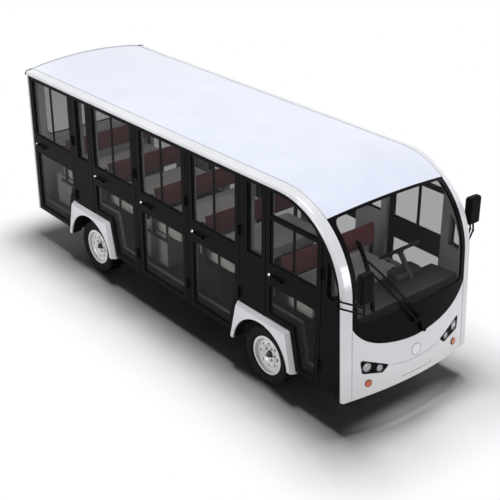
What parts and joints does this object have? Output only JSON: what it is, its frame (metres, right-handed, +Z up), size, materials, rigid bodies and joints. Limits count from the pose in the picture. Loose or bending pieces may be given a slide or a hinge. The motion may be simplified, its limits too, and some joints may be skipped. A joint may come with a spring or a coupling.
{
  "type": "enclosed electric sightseeing car",
  "caption": "Low enclosed electric passenger car with bench rows, front-hinged glazed doors on both sides, a curved windscreen, steered front wheels and forward mirrors.",
  "frame": {"origin": "on the ground, under the middle of the overall box", "axes": "+X forward, +Y to the car's left, +Z up"},
  "size_m": [5.16, 1.776, 2.0257],
  "materials": {
    "white_shell": "gloss",
    "black_frame": "satin",
    "glass": "gloss",
    "lamp_clear": "gloss",
    "lamp_amber": "gloss",
    "lamp_red": "gloss",
    "chassis_paint": "satin",
    "floor": "matte",
    "seat_base": "matte",
    "cushion_leather": "satin",
    "back_leather": "satin",
    "hand_wheel": "matte",
    "tyre": "matte",
    "rim_paint": "gloss"
  },
  "bodies": {
    "body": {"chassis_frame": "chassis_paint", "floor_pan": "floor", "roof_panel": "white_shell", "side_bands": "white_shell", "rear_panel": "white_shell", "side_frame_right": "black_frame", "side_frame_left": "black_frame", "fixed_windows": "glass", "front_nose": "white_shell", "screen_surround": "black_frame", "windscreen": "glass", "headlamp_housings": "black_frame", "headlamp_lenses": "lamp_clear", "turn_lamps": "lamp_amber", "tail_lamps": "lamp_red", "arch_flares": "white_shell", "door_hinges": "chassis_paint", "leaf_springs": "chassis_paint", "rear_axle": "chassis_paint", "front_axle": "chassis_paint", "steering_rack": "chassis_paint", "seat_bases": "seat_base", "seat_cushions": "cushion_leather", "seat_backs": "back_leather", "dashboard": "black_frame", "mirrors": "black_frame", "wiper": "black_frame", "battery_pack": "chassis_paint"},
    "hand_wheel": {"steering_wheel": "hand_wheel"},
    "steer_link": {"tie_rod": "chassis_paint"},
    "steer_right": {"knuckle_right": "chassis_paint"},
    "steer_left": {"knuckle_left": "chassis_paint"},
    "wheel_front_right": {"tyre_front_right": "tyre", "rim_front_right": "rim_paint"},
    "wheel_front_left": {"tyre_front_left": "tyre", "rim_front_left": "rim_paint"},
    "wheel_rear_right": {"tyre_rear_right": "tyre", "rim_rear_right": "rim_paint"},
    "wheel_rear_left": {"tyre_rear_left": "tyre", "rim_rear_left": "rim_paint"},
    "front_right_door": {"door_front_right": "black_frame", "door_glass_front_right": "glass"},
    "front_left_door": {"door_front_left": "black_frame", "door_glass_front_left": "glass"},
    "second_right_door": {"door_second_right": "black_frame", "door_glass_second_right": "glass"},
    "second_left_door": {"door_second_left": "black_frame", "door_glass_second_left": "glass"},
    "third_right_door": {"door_third_right": "black_frame", "door_glass_third_right": "glass"},
    "third_left_door": {"door_third_left": "black_frame", "door_glass_third_left": "glass"},
    "fourth_right_door": {"door_fourth_right": "black_frame", "door_glass_fourth_right": "glass"},
    "fourth_left_door": {"door_fourth_left": "black_frame", "door_glass_fourth_left": "glass"},
    "rear_right_door": {"door_rear_right": "black_frame", "door_glass_rear_right": "glass"},
    "rear_left_door": {"door_rear_left": "black_frame", "door_glass_rear_left": "glass"}
  },
  "joints": [
    {"name": "steering_wheel_turn", "type": "hinge", "parent": "body", "child": "hand_wheel", "pos_m": [1.82, 0.33, 1.19], "axis": [-0.6157, 0, 0.788], "range_deg": [-450, 450]},
    {"name": "steer_right_turn", "type": "hinge", "parent": "body", "child": "steer_right", "pos_m": [1.29, -0.5, 0.281], "axis": [0, 0, 1], "range_deg": [-30, 30]},
    {"name": "steer_left_turn", "type": "hinge", "parent": "body", "child": "steer_left", "pos_m": [1.29, 0.5, 0.281], "axis": [0, 0, 1], "range_deg": [-30, 30]},
    {"name": "tie_rod_slide", "type": "slide", "parent": "body", "child": "steer_link", "axis": [0, 1, 0], "range_m": [-0.062, 0.062]},
    {"name": "wheel_front_right_spin", "type": "hinge", "parent": "steer_right", "child": "wheel_front_right", "pos_m": [1.29, -0.63, 0.281], "axis": [0, 1, 0], "continuous": true},
    {"name": "wheel_front_left_spin", "type": "hinge", "parent": "steer_left", "child": "wheel_front_left", "pos_m": [1.29, 0.63, 0.281], "axis": [0, 1, 0], "continuous": true},
    {"name": "wheel_rear_right_spin", "type": "hinge", "parent": "body", "child": "wheel_rear_right", "pos_m": [-1.44, -0.63, 0.281], "axis": [0, 1, 0], "continuous": true},
    {"name": "wheel_rear_left_spin", "type": "hinge", "parent": "body", "child": "wheel_rear_left", "pos_m": [-1.44, 0.63, 0.281], "axis": [0, 1, 0], "continuous": true},
    {"name": "door_front_right_swing", "type": "hinge", "parent": "body", "child": "front_right_door", "pos_m": [1.998, -0.756, 1.1], "axis": [0, 0, 1], "range_deg": [0, 75]},
    {"name": "door_front_left_swing", "type": "hinge", "parent": "body", "child": "front_left_door", "pos_m": [1.998, 0.756, 1.1], "axis": [0, 0, -1], "range_deg": [0, 75]},
    {"name": "door_second_right_swing", "type": "hinge", "parent": "body", "child": "second_right_door", "pos_m": [0.973, -0.756, 1.1], "axis": [0, 0, 1], "range_deg": [0, 75]},
    {"name": "door_second_left_swing", "type": "hinge", "parent": "body", "child": "second_left_door", "pos_m": [0.973, 0.756, 1.1], "axis": [0, 0, -1], "range_deg": [0, 75]},
    {"name": "door_third_right_swing", "type": "hinge", "parent": "body", "child": "third_right_door", "pos_m": [0.213, -0.756, 1.1], "axis": [0, 0, 1], "range_deg": [0, 75]},
    {"name": "door_third_left_swing", "type": "hinge", "parent": "body", "child": "third_left_door", "pos_m": [0.213, 0.756, 1.1], "axis": [0, 0, -1], "range_deg": [0, 75]},
    {"name": "door_fourth_right_swing", "type": "hinge", "parent": "body", "child": "fourth_right_door", "pos_m": [-0.597, -0.756, 1.1], "axis": [0, 0, 1], "range_deg": [0, 75]},
    {"name": "door_fourth_left_swing", "type": "hinge", "parent": "body", "child": "fourth_left_door", "pos_m": [-0.597, 0.756, 1.1], "axis": [0, 0, -1], "range_deg": [0, 75]},
    {"name": "door_rear_right_swing", "type": "hinge", "parent": "body", "child": "rear_right_door", "pos_m": [-1.707, -0.756, 1.1], "axis": [0, 0, 1], "range_deg": [0, 75]},
    {"name": "door_rear_left_swing", "type": "hinge", "parent": "body", "child": "rear_left_door", "pos_m": [-1.707, 0.756, 1.1], "axis": [0, 0, -1], "range_deg": [0, 75]}
  ],
  "couplings": [
    {"joint": "steer_right_turn", "follows": "steering_wheel_turn", "ratio": 0.066667},
    {"joint": "steer_left_turn", "follows": "steering_wheel_turn", "ratio": 0.066667},
    {"joint": "tie_rod_slide", "follows": "steering_wheel_turn", "m_per_rad": -0.0078667}
  ]
}
